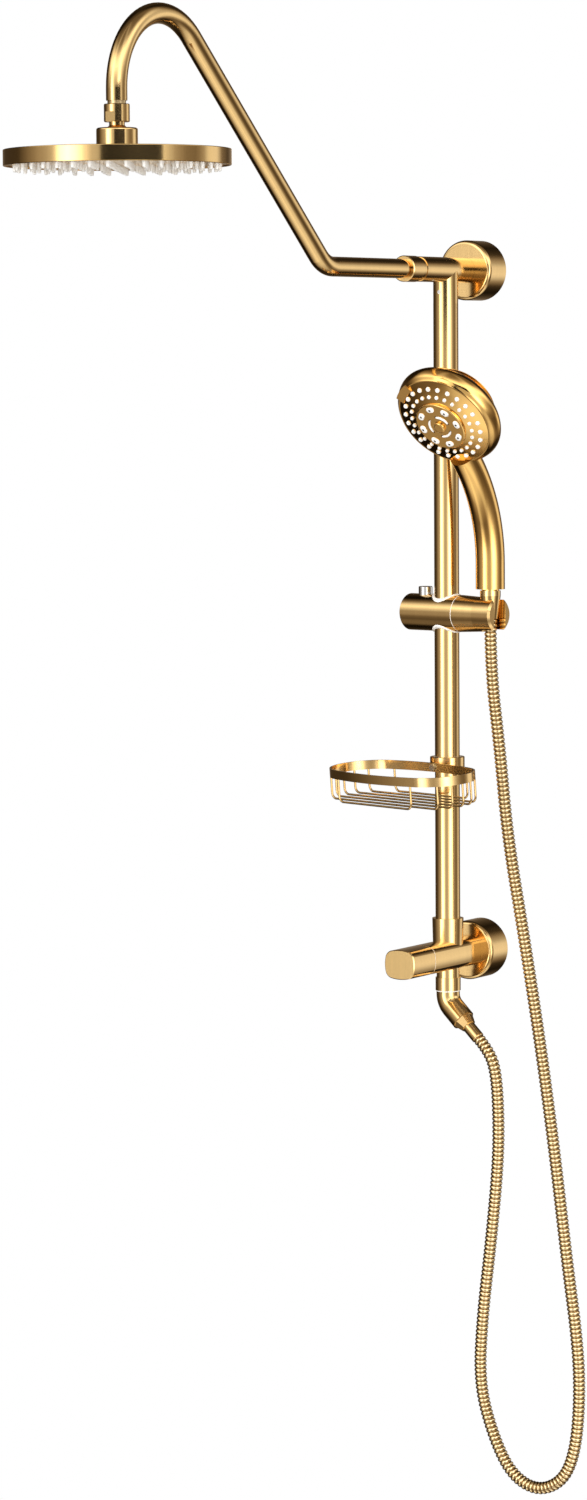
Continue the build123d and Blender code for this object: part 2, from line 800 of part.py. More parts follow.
with BuildPart() as hand_shower_body:
    with BuildSketch(head_profile):
        with BuildLine():
            Line((0, 0), (rim_radius, 0))
            Spline((rim_radius, 0), *head_points, tangents=((0.6, 1), (-1, 0)))
            Line(head_points[-1], (0, 0))
        make_face()
    revolve(axis=face_axis)
    add(handle_outside.part)
    with BuildSketch(face_plane(dial_recess)):
        Circle(dial_radius + air)
    extrude(amount=dial_recess + 2 * handle_radius, mode=Mode.SUBTRACT)
    with BuildSketch(face_plane(dial_recess)):
        Circle(chamber_radius)
    extrude(amount=-(chamber_depth - dial_recess), taper=25, mode=Mode.SUBTRACT)
    add(handle_inside.part, mode=Mode.SUBTRACT)
    with BuildSketch(above_socket(handle_foot - thread_length)):
        Circle(thread_radius)
        Circle(handle_bore, mode=Mode.SUBTRACT)
    extrude(amount=thread_length)
finish("hand_shower_body", hand_shower_body)


# ---------------------------------------------------------------- spray dial
def lever_outline(gap):
    """Outline of the lever, a curved tab that stands out over the dial's rim."""
    with BuildSketch() as outline:
        Circle(lever_outer + gap)
        Circle(lever_inner - gap, mode=Mode.SUBTRACT)
        with PolarLocations(lever_outer, 1, start_angle=lever_side):
            Rectangle(2 * lever_outer, lever_width + 2 * gap, mode=Mode.INTERSECT)
    return outline


def centre_slots(gap):
    """The oval nozzles and the curved slots inside them, both smaller all round by a gap."""
    with BuildSketch() as outline:
        with PolarLocations(oval_ring, oval_count, start_angle=oval_start):
            SlotOverall(oval_length - 2 * gap, oval_width - 2 * gap, rotation=90)
        with PolarLocations(0, arc_count, start_angle=arc_start):
            SlotArc(Edge.make_circle(arc_ring, start_angle=0, end_angle=arc_span), arc_width - 2 * gap)
    return outline


dial_back = dial_recess - air
with BuildPart() as spray_dial:
    with BuildSketch(head_profile):
        with BuildLine():
            Line((0, dial_back), (dial_radius, dial_back))
            Line((dial_radius, dial_back), (dial_radius, 0))
            ThreePointArc(
                (dial_radius, 0),
                (dial_radius * 0.6, -dial_crown * 0.64),
                (0, -dial_crown),
            )
            Line((0, -dial_crown), (0, dial_back))
        make_face()
    revolve(axis=face_axis)
    for row_radius, row_count, row_hole, row_start in fine_nozzle_rows:
        with BuildSketch(face_plane(-dial_crown)):
            with PolarLocations(row_radius, row_count, start_angle=row_start):
                Circle(row_hole + fit)
        extrude(amount=-(dial_crown + dial_back), mode=Mode.SUBTRACT)
    with BuildSketch(face_plane(-dial_crown)):
        Circle(centre_plate_radius + fit)
    extrude(amount=-(dial_crown + dial_back), mode=Mode.SUBTRACT)
    with BuildSketch(face_plane(-lever_rise)):
        add(lever_outline(fit).sketch)
    extrude(amount=dial_crown, mode=Mode.SUBTRACT)
finish("spray_dial", spray_dial)

dial_front = -dial_crown - centre_plate_rise
with BuildPart() as centre_plate:
    with BuildSketch(face_plane(dial_back)):
        Circle(centre_plate_radius)
    extrude(amount=dial_back - dial_front)
    fillet(centre_plate.edges().filter_by(GeomType.CIRCLE).sort_by(Axis(face_centre, face_normal))[-1], 1.2)
    with BuildSketch(face_plane(dial_front)):
        add(centre_slots(0).sketch)
    extrude(amount=-(dial_back - dial_front), mode=Mode.SUBTRACT)
    with BuildSketch(face_plane(dial_front)):
        Circle(hub_radius - 1.0 + fit)
    extrude(amount=-(dial_back - dial_front), mode=Mode.SUBTRACT)
finish("centre_plate", centre_plate)

nozzle_proud = 0.8
with BuildPart() as centre_nozzles:
    with BuildSketch(face_plane(dial_back)):
        add(centre_slots(fit).sketch)
    extrude(amount=dial_back - dial_front + nozzle_proud)
finish("centre_nozzles", centre_nozzles)

with BuildPart() as fine_nozzles:
    for row_radius, row_count, row_hole, row_start in fine_nozzle_rows:
        row_depth = dial_crown * (1 - (row_radius / dial_radius) ** 2)
        with BuildSketch(face_plane(dial_back)):
            with PolarLocations(row_radius, row_count, start_angle=row_start):
                Circle(row_hole)
        extrude(amount=dial_back + row_depth + 2 * nozzle_proud)
finish("fine_nozzles", fine_nozzles)

with BuildPart() as dial_hub:
    with BuildSketch(face_plane(dial_back)):
        Circle(hub_radius - 1.0)
    extrude(amount=dial_back - dial_front + 0.2)
    with BuildSketch(face_plane(dial_front - 0.2)):
        Circle(hub_radius)
    extrude(amount=hub_reach)
    fillet(dial_hub.edges().filter_by(GeomType.CIRCLE).sort_by(Axis(face_centre, face_normal))[-1], 1.5)
finish("dial_hub", dial_hub)

with BuildPart() as selector_lever:
    with BuildSketch(face_plane(-lever_rise)):
        add(lever_outline(0).sketch)
    extrude(amount=lever_thickness)
finish("selector_lever", selector_lever)

# ================================================================ hose ends at the hand shower
with BuildPart() as hose_cone_nut:
    with BuildSketch(above_socket(cone_shoulder)):
        Circle(cone_top_radius)
    extrude(amount=cone_top - cone_shoulder)
    with BuildSketch(above_socket(cone_foot)):
        Circle(cone_foot_radius)
    with BuildSketch(above_socket(cone_shoulder)):
        Circle(cone_top_radius)
    loft()
    with BuildSketch(above_socket(cone_top)):
        Circle(thread_radius + fit)
    extrude(amount=-(cone_top - handle_foot + thread_length), mode=Mode.SUBTRACT)
    with BuildSketch(above_socket(cone_foot)):
        Circle(ferrule_bore)
    extrude(amount=cone_top - cone_foot, mode=Mode.SUBTRACT)
finish("hose_cone_nut", hose_cone_nut)
finish("handle_washer", tube(above_socket(handle_foot + 0.1), handle_bore - fit, ferrule_bore, 2.0))

# ================================================================ diverter
with BuildPart() as diverter_body:
    with BuildSketch(towards_room(body_back)):
        add(body_section().sketch)
    extrude(amount=body_front - body_back)
    with BuildSketch(level_at(0)):
        Circle(collar_foot_radius)
    with BuildSketch(level_at(collar_top)):
        Circle(collar_top_radius)
    loft()
    with BuildSketch(level_at(neck_foot)):
        Circle(neck_radius)
    extrude(amount=-neck_foot)
    with BuildSketch(level_at(outlet_foot)):
        Circle(outlet_radius)
    extrude(amount=neck_foot - outlet_foot)
    with BuildSketch(towards_room(body_back)):
        Circle(tail_radius)
    extrude(amount=-tail_length)
    with BuildSketch(towards_room(body_back - tail_length)):
        Circle(inlet_bore)
    extrude(amount=cartridge_back - body_back + tail_length, mode=Mode.SUBTRACT)
    with BuildSketch(towards_room(cartridge_back)):
        Circle(cartridge_radius + fit)
    extrude(amount=body_front - cartridge_back, mode=Mode.SUBTRACT)
    with BuildSketch(level_at(bar_foot)):
        Circle(bar_radius + fit)
    extrude(amount=collar_top - bar_foot, mode=Mode.SUBTRACT)
    with BuildSketch(level_at(outlet_foot)):
        Circle(outlet_bore)
    extrude(amount=bar_foot - outlet_foot, mode=Mode.SUBTRACT)
finish("diverter_body", diverter_body)

union_bore_end = inlet_thread_depth + 1.5
with BuildPart() as inlet_union:
    with BuildSketch(towards_room(0)):
        RegularPolygon(union_radius, 6, major_radius=True)
    extrude(amount=union_length)
    with BuildSketch(towards_room(0)):
        Circle(inlet_thread_radius)
    extrude(amount=inlet_thread_depth, mode=Mode.SUBTRACT)
    with BuildSketch(towards_room(0)):
        Circle(inlet_bore)
    extrude(amount=union_length, mode=Mode.SUBTRACT)
    with BuildSketch(towards_room(union_length)):
        Circle(tail_radius + fit)
    extrude(amount=-(union_length - body_back + tail_length + 2.0), mode=Mode.SUBTRACT)
finish("inlet_union", inlet_union)
finish(
    "inlet_washer",
    tube(towards_room(body_back - tail_length - 1.95), tail_radius - fit, inlet_bore + fit, 1.9),
)

finish(
    "diverter_cartridge",
    tube(towards_room(cartridge_back + 0.1), cartridge_radius, spindle_radius + running,
         cartridge_front - cartridge_back),
)
finish(
    "cartridge_retainer",
    tube(towards_room(cartridge_front + 0.2), cartridge_radius, retainer_bore, body_front - cartridge_front - 0.3),
)
with BuildPart() as knob_glide_ring:
    with BuildSketch(towards_room(body_front)):
        add(body_section(-0.3).sketch)
        Circle(cartridge_radius - 0.5, mode=Mode.SUBTRACT)
    extrude(amount=glide_ring)
finish("knob_glide_ring", knob_glide_ring)

knob_back = body_front + glide_ring + air
knob_grub_place = (knob_back + spindle_front) / 2
knob_grub_plane = Plane(origin=(0, -knob_grub_place, -spindle_radius - fit), x_dir=(1, 0, 0), z_dir=(0, 0, -1))
with BuildPart() as diverter_knob:
    with BuildSketch(towards_room(knob_back)):
        add(body_section().sketch)
    extrude(amount=knob_end - knob_back - knob_edge)
    with BuildSketch(towards_room(knob_end - knob_edge)):
        add(body_section().sketch)
    with BuildSketch(towards_room(knob_end)):
        add(body_section(-knob_edge).sketch)
    loft()
    with BuildSketch(towards_room(knob_back)):
        add(body_section(-knob_wall).sketch)
        Circle(knob_boss_radius, mode=Mode.SUBTRACT)
    extrude(amount=knob_end - knob_back - knob_wall, mode=Mode.SUBTRACT)
    with BuildSketch(towards_room(knob_back)):
        Circle(spindle_radius + fit)
    extrude(amount=spindle_front - knob_back + fit, mode=Mode.SUBTRACT)
    with BuildSketch(knob_grub_plane):
        Circle(grub_radius + fit)
    extrude(amount=body_tall, mode=Mode.SUBTRACT)
finish("diverter_knob", diverter_knob)
finish("diverter_spindle", tube(towards_room(spindle_back), spindle_radius, 0, spindle_front - spindle_back))
finish("knob_grub_screw", grub_screw(knob_grub_plane, grub_radius, knob_boss_radius - spindle_radius - 2 * fit))

# ================================================================ outlet elbow
finish("outlet_seam_ring", tube(level_at(outlet_foot - seam_ring), elbow_radius + 0.4, outlet_bore, seam_ring))

elbow_top = outlet_foot - seam_ring
bend = math.radians(elbow_turn)
elbow_way = Vector(math.cos(math.radians(elbow_swing)), math.sin(math.radians(elbow_swing)), 0)
elbow_side = Plane(origin=(0, -bar_offset, 0), x_dir=elbow_way, z_dir=elbow_way.cross(Vector(0, 0, 1)))
elbow_arc_x = elbow_bend * (1 - math.cos(bend))
elbow_arc_z = elbow_straight - elbow_bend * math.sin(bend)
outlet_way = elbow_way * math.sin(bend) - Vector(0, 0, 1) * math.cos(bend)
elbow_tip_x = elbow_arc_x + elbow_run * math.sin(bend)
elbow_tip_z = elbow_arc_z - elbow_run * math.cos(bend)
elbow_end = Vector(0, -bar_offset, elbow_tip_z) + elbow_way * elbow_tip_x


def elbow_rod(radius):
    """A rod along the elbow's bend."""
    with BuildPart() as piece:
        with BuildLine(elbow_side) as path:
            Line((0, elbow_top), (0, elbow_straight))
            CenterArc((elbow_bend, elbow_straight), elbow_bend, 180, elbow_turn)
            Line((elbow_arc_x, elbow_arc_z), (elbow_tip_x, elbow_tip_z))
        with BuildSketch(level_at(elbow_top)):
            Circle(radius)
        sweep(path=path.wire())
    return piece


elbow_outside = elbow_rod(elbow_radius)
elbow_inside = elbow_rod(outlet_bore)
with BuildPart() as hose_elbow:
    add(elbow_outside.part)
    add(elbow_inside.part, mode=Mode.SUBTRACT)
finish("hose_elbow", hose_elbow)


def along_outlet(distance):
    """A plane square to the outlet, this far past the elbow's end."""
    return Plane(origin=elbow_end + outlet_way * distance, x_dir=elbow_side.z_dir, z_dir=outlet_way)


with BuildPart() as hose_nut:
    with BuildSketch(along_outlet(0)):
        RegularPolygon(hose_nut_radius, 8, major_radius=False)
    with BuildSketch(along_outlet(hose_nut_length)):
        RegularPolygon(hose_nut_tip_radius, 8, major_radius=False)
    loft()
    with BuildSketch(along_outlet(0)):
        Circle(ferrule_bore)
    extrude(amount=hose_nut_length, mode=Mode.SUBTRACT)
finish("hose_nut", hose_nut)
finish("hose_ferrule", tube(along_outlet(hose_nut_length), ferrule_radius, ferrule_bore, ferrule_length))

# ================================================================ hose
hose_start = socket_centre + up * cone_foot
hose_end = elbow_end + outlet_way * (hose_nut_length + ferrule_length)
hose_first = hose_start - up * hose_lead
hose_last = hose_end + outlet_way * hose_tail
hose_route = [
    (hose_start.X, hose_start.Y, hose_start.Z),
    (hose_first.X, hose_first.Y, hose_first.Z),
    (67, -78, 212),
    (75, -77, 125),
    (94, -77, 24),
    (112, -76, -83),
    (128, -76, -190),
    (141, -75, -296),
    (154, -75, -384),
    (155, -74, -439),
    (150, -74, -490),
    (136, -74, -522),
    (107, -74, -536),
    (77, -74, -524),
    (56, -74, -489),
    (38, -73, -435),
    (42, -73, -365),
    (52, -72, -286),
    (60, -71, -205),
    (61.5, -73, -152),
    (60, -76, -112),
    (hose_last.X, hose_last.Y, hose_last.Z),
    (hose_end.X, hose_end.Y, hose_end.Z),
]


def bend_radii(route):
    """Each corner's arc is as large as the shorter of its two runs allows."""
    radii = []
    for before, corner, after in zip(route, route[1:], route[2:]):
        arriving = Vector(*corner) - Vector(*before)
        leaving = Vector(*after) - Vector(*corner)
        half_turn = math.radians(arriving.get_angle(leaving)) / 2
        shorter = min(arriving.length, leaving.length)
        radii.append(run_share * shorter / math.tan(half_turn))
    return radii


hose_radii = bend_radii(hose_route)
print("hose radii", [round(radius, 1) for radius in hose_radii])

with BuildPart() as shower_hose:
    with BuildLine() as hose_path:
        FilletPolyline(*hose_route, radius=hose_radii)
    hose_first_way = Vector(*hose_route[1]) - Vector(*hose_route[0])
    with BuildSketch(Plane(origin=hose_start, z_dir=hose_first_way)):
        Circle(hose_radius)
    sweep(path=hose_path.wire())
hose_length = hose_path.wire().length
print("hose length", round(hose_length, 1))
print("hose volume", round(shower_hose.part.volume), "expected", round(math.pi * hose_radius ** 2 * hose_length))
finish("shower_hose", shower_hose)

# ================================================================ soap dish
swing = math.radians(dish_turn)
lean = math.radians(dish_tip)
dish_along = Vector(math.cos(swing), math.sin(swing), 0)
dish_level = Vector(math.sin(swing), -math.cos(swing), 0)
dish_outward = dish_level * math.cos(lean) - up * math.sin(lean)
dish_up = dish_along.cross(-dish_outward)
dish_centre = Vector(0, -bar_offset, dish_height) + dish_level * dish_gap + dish_outward * (dish_depth / 2)

sleeve_radius = bar_radius + running + sleeve_wall
collar_tall = dish_collar_top - dish_collar_foot
finish("dish_sleeve", tube(level_at(dish_collar_foot), sleeve_radius, bar_radius + running, collar_tall))


def dish_plane(rise=0.0):
    """A plane parallel to the dish's rim, this far above the band's top."""
    return Plane(origin=dish_centre + dish_up * rise, x_dir=dish_along, z_dir=dish_up)


dish_screw_height = dish_height - band_height / 2
dish_screw_plane = Plane(
    origin=Vector(0, -bar_offset, dish_screw_height) + dish_level * (sleeve_radius + 2.0),
    x_dir=dish_along,
    z_dir=dish_level,
)
with BuildPart() as dish_collar:
    with BuildSketch(level_at(dish_collar_foot)):
        Circle(dish_collar_radius)
        Circle(sleeve_radius + running, mode=Mode.SUBTRACT)
    extrude(amount=collar_tall)
    chamfer(dish_collar.edges().filter_by(GeomType.CIRCLE).group_by(SortBy.RADIUS)[-1], 0.5)
    with BuildSketch(dish_screw_plane):
        Circle(dish_screw_radius + fit)
    extrude(amount=dish_collar_radius, mode=Mode.SUBTRACT)
finish("dish_collar", dish_collar)

# The band is a flattened oval of four tangent arcs.
half_long = dish_length / 2
half_deep = dish_depth / 2
end_centre = half_long - dish_end_radius
side_radius = (end_centre ** 2 + half_deep ** 2 - dish_end_radius ** 2) / (2 * (half_deep - dish_end_radius))
side_centre = side_radius - half_deep
join_angle = math.degrees(math.atan2(side_centre, end_centre))


def oval_slab(inset):
    """A slab as high as the band, its outline the band's moved inwards."""
    end_r = dish_end_radius - inset
    side_r = side_radius - inset
    with BuildPart() as piece:
        with BuildSketch(dish_plane()):
            with BuildLine():
                CenterArc((end_centre, 0), end_r, -join_angle, 2 * join_angle)
                CenterArc((0, -side_centre), side_r, join_angle, 180 - 2 * join_angle)
                CenterArc((-end_centre, 0), end_r, 180 - join_angle, 2 * join_angle)
                CenterArc((0, side_centre), side_r, 180 + join_angle, 180 - 2 * join_angle)
            make_face()
        extrude(amount=-band_height)
    return piece


band_outside = oval_slab(0)
band_inside = oval_slab(band_thickness)
with BuildPart() as dish_band:
    add(band_outside.part)
    add(band_inside.part, mode=Mode.SUBTRACT)
    with BuildSketch(dish_screw_plane):
        Circle(dish_screw_radius + fit)
    extrude(amount=dish_collar_radius, mode=Mode.SUBTRACT)
finish("dish_band", dish_band)

wire_inset = band_thickness / 2


def wire_half_span(place):
    """Half the length of a wire that hangs from the band, this far from the dish's middle line."""
    end_r = dish_end_radius - wire_inset
    side_r = side_radius - wire_inset
    if abs(place) <= end_r * math.sin(math.radians(join_angle)):
        return end_centre + math.sqrt(end_r ** 2 - place ** 2)
    return math.sqrt(side_r ** 2 - (side_centre + abs(place)) ** 2)


with BuildPart() as dish_wires:
    for row in range(wire_rows):
        place = (row - (wire_rows - 1) / 2) * wire_pitch
        half_span = wire_half_span(place)
        row_centre = dish_centre - dish_outward * place
        with BuildLine(Plane(origin=row_centre, x_dir=dish_along, z_dir=dish_outward)) as wire_path:
            FilletPolyline(
                (-half_span, -band_height),
                (-half_span, -basket_depth),
                (half_span, -basket_depth),
                (half_span, -band_height),
                radius=wire_bend,
            )
        wire_end = row_centre - dish_along * half_span - dish_up * band_height
        with BuildSketch(Plane(origin=wire_end, x_dir=dish_along, z_dir=-dish_up)):
            Circle(wire_radius)
        sweep(path=wire_path.wire())
finish("dish_wires", dish_wires)

dish_screw_length = dish_gap + band_thickness - sleeve_radius - 2.0
with BuildPart() as dish_screw:
    with BuildSketch(dish_screw_plane.offset(fit)):
        Circle(dish_screw_radius)
    extrude(amount=dish_screw_length)
    with BuildSketch(dish_screw_plane.offset(dish_screw_length + fit)):
        Circle(dish_screw_radius * 1.8)
    extrude(amount=1.5)
finish("dish_screw", dish_screw)
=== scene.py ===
"""Wall-mounted shower column: materials, detailed pieces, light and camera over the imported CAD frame."""

import json
import math

import bmesh
import bpy
from mathutils import Matrix, Vector


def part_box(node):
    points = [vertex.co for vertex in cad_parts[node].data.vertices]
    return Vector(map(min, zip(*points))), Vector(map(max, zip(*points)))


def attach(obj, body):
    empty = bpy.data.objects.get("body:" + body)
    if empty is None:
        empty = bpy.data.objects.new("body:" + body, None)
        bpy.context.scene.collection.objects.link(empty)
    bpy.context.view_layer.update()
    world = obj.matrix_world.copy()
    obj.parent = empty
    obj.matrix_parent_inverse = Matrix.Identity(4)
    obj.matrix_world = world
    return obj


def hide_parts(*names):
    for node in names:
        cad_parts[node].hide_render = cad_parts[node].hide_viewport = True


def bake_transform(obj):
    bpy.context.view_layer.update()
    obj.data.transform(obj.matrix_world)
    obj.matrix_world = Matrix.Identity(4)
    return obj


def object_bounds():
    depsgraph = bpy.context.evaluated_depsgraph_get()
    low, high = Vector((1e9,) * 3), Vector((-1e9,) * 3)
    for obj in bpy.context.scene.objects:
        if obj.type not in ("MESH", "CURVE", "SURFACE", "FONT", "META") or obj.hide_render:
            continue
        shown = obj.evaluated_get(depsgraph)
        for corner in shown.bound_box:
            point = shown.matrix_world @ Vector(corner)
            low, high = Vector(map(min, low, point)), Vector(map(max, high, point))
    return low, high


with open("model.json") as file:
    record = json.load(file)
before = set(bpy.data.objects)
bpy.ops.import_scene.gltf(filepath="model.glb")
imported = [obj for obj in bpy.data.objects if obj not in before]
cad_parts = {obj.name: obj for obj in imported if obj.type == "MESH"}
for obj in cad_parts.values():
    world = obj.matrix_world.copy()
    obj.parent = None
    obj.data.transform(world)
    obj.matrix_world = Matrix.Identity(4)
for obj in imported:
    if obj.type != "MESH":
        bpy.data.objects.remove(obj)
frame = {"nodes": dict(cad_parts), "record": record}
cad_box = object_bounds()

scene = bpy.context.scene

# ------------------------------------------------------------------ camera
AZIMUTH = math.radians(33.083)
PITCH = math.radians(4.946)
ROLL = math.radians(-0.3757)
EYE = Vector((2.2863, -3.8607, 0.5910))
SENSOR_MM = 36.0
LENS_MM = 106.0584
TOWARD = Vector((math.sin(AZIMUTH), -math.cos(AZIMUTH), 0))
BESIDE = Vector((math.cos(AZIMUTH), math.sin(AZIMUTH), 0))


def place_camera():
    """The photograph's view: far away, a little above and to the right, through a long lens."""
    look = -TOWARD * math.cos(PITCH) - Vector((0, 0, math.sin(PITCH)))
    right = BESIDE
    up = right.cross(look)
    side = right * math.cos(ROLL) + up * math.sin(ROLL)
    top = up * math.cos(ROLL) - right * math.sin(ROLL)
    data = bpy.data.cameras.new("camera")
    data.sensor_fit = "VERTICAL"
    data.sensor_height = SENSOR_MM
    data.lens = LENS_MM
    data.clip_end = 50.0
    camera = bpy.data.objects.new("camera", data)
    scene.collection.objects.link(camera)
    turn = Matrix((side, top, -look)).transposed().to_4x4()
    camera.matrix_world = Matrix.Translation(EYE) @ turn
    scene.camera = camera


place_camera()
scene.view_settings.view_transform = "Standard"


# ------------------------------------------------------------------ mesh helpers
def new_mesh(name, bm, smooth=True):
    """A mesh object from a bmesh, shaded smooth."""
    mesh = bpy.data.meshes.new(name)
    bmesh.ops.recalc_face_normals(bm, faces=bm.faces)
    bm.to_mesh(mesh)
    bm.free()
    for face in mesh.polygons:
        face.use_smooth = smooth
    piece = bpy.data.objects.new(name, mesh)
    scene.collection.objects.link(piece)
    return piece


def square_frame(axis, hint):
    """Two directions square to an axis, the first as near as can be to a hint."""
    first = (hint - axis * hint.dot(axis)).normalized()
    return first, axis.cross(first)


def add_rings(bm, rings):
    """Joins closed rings of vertices, each to the next, with faces."""
    for lower, upper in zip(rings, rings[1:]):
        for step in range(len(lower)):
            after = (step + 1) % len(lower)
            bm.faces.new((lower[step], lower[after], upper[after], upper[step]))


def add_lathe(bm, centre, axis, hint, profile, turns=14):
    """Adds a turned shape, closed at its far end: a profile of (radius, height) pairs round an axis."""
    first, second = square_frame(axis, hint)
    rings = []
    for radius, height in profile:
        ring = []
        for step in range(turns):
            angle = 2 * math.pi * step / turns
            offset = first * (radius * math.cos(angle)) + second * (radius * math.sin(angle))
            ring.append(bm.verts.new(centre + axis * height + offset))
        rings.append(ring)
    add_rings(bm, rings)
    bm.faces.new(rings[-1])


# ------------------------------------------------------------------ materials
def node(tree, kind, **values):
    """A new shader node with some of its inputs set."""
    made = tree.nodes.new(kind)
    for name, value in values.items():
        if name in made.inputs:
            made.inputs[name].default_value = value
        else:
            setattr(made, name, value)
    return made


def maths(tree, operation, first, second):
    """The result of a maths node on a socket and a socket or a number."""
    made = node(tree, "ShaderNodeMath", operation=operation)
    tree.links.new(first, made.inputs[0])
    if isinstance(second, float):
        made.inputs[1].default_value = second
    else:
        tree.links.new(second, made.inputs[1])
    return made.outputs[0]


CLOUD_SCALE = 9.0
BUMP_DEPTH = 0.0004


def material(name, base, metallic, roughness, spread=0.05, grain=(260.0, 260.0, 12.0), bump=0.03, tint=0.06):
    """A surface with fine grain, slow cloudy changes of colour and roughness, and a shallow bump."""
    made = bpy.data.materials.new(name)
    made.use_nodes = True
    tree = made.node_tree
    shader = tree.nodes["Principled BSDF"]
    shader.inputs["Metallic"].default_value = metallic
    place = node(tree, "ShaderNodeTexCoord")
    stretch = node(tree, "ShaderNodeMapping")
    stretch.inputs["Scale"].default_value = grain
    tree.links.new(place.outputs["Object"], stretch.inputs["Vector"])
    fine = node(tree, "ShaderNodeTexNoise", Scale=1.0, Detail=4.0, Roughness=0.6)
    tree.links.new(stretch.outputs["Vector"], fine.inputs["Vector"])
    cloud = node(tree, "ShaderNodeTexNoise", Scale=CLOUD_SCALE, Detail=3.0, Roughness=0.5)
    tree.links.new(place.outputs["Object"], cloud.inputs["Vector"])
    shades = node(tree, "ShaderNodeValToRGB")
    shades.color_ramp.elements[0].position = 0.3
    shades.color_ramp.elements[1].position = 0.7
    dark = [channel * (1 - tint) for channel in base]
    light = [min(1.0, channel * (1 + tint)) for channel in base]
    shades.color_ramp.elements[0].color = (*dark, 1)
    shades.color_ramp.elements[1].color = (*light, 1)
    both = maths(tree, "ADD", fine.outputs["Fac"], cloud.outputs["Fac"])
    half = maths(tree, "MULTIPLY", both, 0.5)
    tree.links.new(half, shades.inputs["Fac"])
    tree.links.new(shades.outputs["Color"], shader.inputs["Base Color"])
    rough = node(tree, "ShaderNodeMapRange")
    rough.inputs["To Min"].default_value = max(0.02, roughness - spread)
    rough.inputs["To Max"].default_value = roughness + spread
    tree.links.new(half, rough.inputs["Value"])
    tree.links.new(rough.outputs["Result"], shader.inputs["Roughness"])
    raised = node(tree, "ShaderNodeBump", Strength=bump, Distance=BUMP_DEPTH)
    tree.links.new(fine.outputs["Fac"], raised.inputs["Height"])
    tree.links.new(raised.outputs["Normal"], shader.inputs["Normal"])
    return made


HOSE_GRAIN = (400.0,) * 3
NYLON_GRAIN = (500.0,) * 3
SILICONE_GRAIN = (700.0,) * 3
RUBBER_GRAIN = (900.0,) * 3

satin_gold = material("satin_gold", (0.86, 0.59, 0.26), 1.0, 0.13, 0.03)
gloss_gold = material("gloss_gold", (0.92, 0.57, 0.19), 1.0, 0.12, 0.03, (90.0, 90.0, 90.0), 0.02)
hose_gold = material("hose_gold", (0.95, 0.74, 0.42), 1.0, 0.13, 0.04, HOSE_GRAIN, 0.03)
# A darker copy of the hose gold for its grooves: painted shade, not a colour of the metal.
hose_groove_painted_shade = material("hose_groove_painted_shade", (0.30, 0.17, 0.06), 1.0, 0.30, 0.05, HOSE_GRAIN, 0.03)
raw_brass = material("raw_brass", (0.72, 0.56, 0.32), 1.0, 0.32, 0.08, (40.0, 600.0, 40.0), 0.1, 0.1)
bright_steel = material("bright_steel", (0.70, 0.70, 0.70), 1.0, 0.25, 0.08, (500.0, 500.0, 60.0), 0.08)
button_chrome = material("button_chrome", (0.72, 0.72, 0.73), 1.0, 0.16, 0.04, (120.0, 120.0, 120.0), 0.02)
white_silicone = material("white_silicone", (0.90, 0.90, 0.89), 0.0, 0.42, 0.06, SILICONE_GRAIN, 0.06, 0.02)
white_nylon = material("white_nylon", (0.88, 0.87, 0.85), 0.0, 0.38, 0.06, NYLON_GRAIN, 0.05, 0.03)
black_rubber = material("black_rubber", (0.035, 0.035, 0.035), 0.0, 0.6, 0.1, RUBBER_GRAIN, 0.2, 0.2)
# Near-black for the spot on each oval nozzle: painted shade standing in for the inside of its outlet hole.
hole_painted_shade = material("hole_painted_shade", (0.05, 0.045, 0.04), 0.0, 0.6, 0.1, RUBBER_GRAIN, 0.1, 0.2)

FINISH = {
    "gold_brass": satin_gold,
    "raw_brass": raw_brass,
    "steel": bright_steel,
    "button_chrome": button_chrome,
    "white_silicone": white_silicone,
    "black_rubber": black_rubber,
    "white_nylon": white_nylon,
    "gold_abs": gloss_gold,
}


def dress(piece, surface):
    """Gives a whole object one material."""
    piece.data.materials.clear()
    piece.data.materials.append(surface)


slot_of = {part["node"]: part["material_slot"] for part in frame["record"]["subparts"]}
for name, cad in frame["nodes"].items():
    surface = FINISH[slot_of[name]]
    for slot in cad.material_slots:
        slot.link = "OBJECT"
        slot.material = surface

# ------------------------------------------------------------------ hose
HOSE_DIAMETER = 0.0125
HOSE_TURNS = 20
HOSE_STEP = 0.00088
GROOVE_DEPTH = 0.0012
GROOVE_PATTERN = (1.0, 0.4, 0.0, 0.0, 0.4)
HOSE_ROUTE = (
    (0.05622, -0.07741, 0.3410),
    (0.05622, -0.07741, 0.2910),
    (0.067, -0.078, 0.212),
    (0.075, -0.077, 0.125),
    (0.094, -0.077, 0.024),
    (0.112, -0.076, -0.083),
    (0.128, -0.076, -0.190),
    (0.141, -0.075, -0.296),
    (0.154, -0.075, -0.384),
    (0.155, -0.074, -0.439),
    (0.150, -0.074, -0.490),
    (0.136, -0.074, -0.522),
    (0.107, -0.074, -0.536),
    (0.077, -0.074, -0.524),
    (0.056, -0.074, -0.489),
    (0.038, -0.073, -0.435),
    (0.042, -0.073, -0.365),
    (0.052, -0.072, -0.286),
    (0.060, -0.071, -0.205),
    (0.0615, -0.073, -0.152),
    (0.060, -0.076, -0.112),
    (0.05256, -0.07727, -0.09269),
    (0.03898, -0.07487, -0.08112),
)


def spline_points(route):
    """The points of the route's smooth line, read from its NURBS curve."""
    data = bpy.data.curves.new("hose_line", "CURVE")
    data.dimensions = "3D"
    data.resolution_u = 24
    spline = data.splines.new("NURBS")
    spline.points.add(len(route) - 1)
    for point, place in zip(spline.points, route):
        point.co = (*place, 1.0)
    spline.order_u = 3
    spline.use_endpoint_u = True
    holder = bpy.data.objects.new("hose_line", data)
    scene.collection.objects.link(holder)
    bpy.context.view_layer.update()
    mesh = bpy.data.meshes.new_from_object(holder)
    points = [vertex.co.copy() for vertex in mesh.vertices]
    bpy.data.objects.remove(holder)
    bpy.data.meshes.remove(mesh)
    bpy.data.curves.remove(data)
    return points


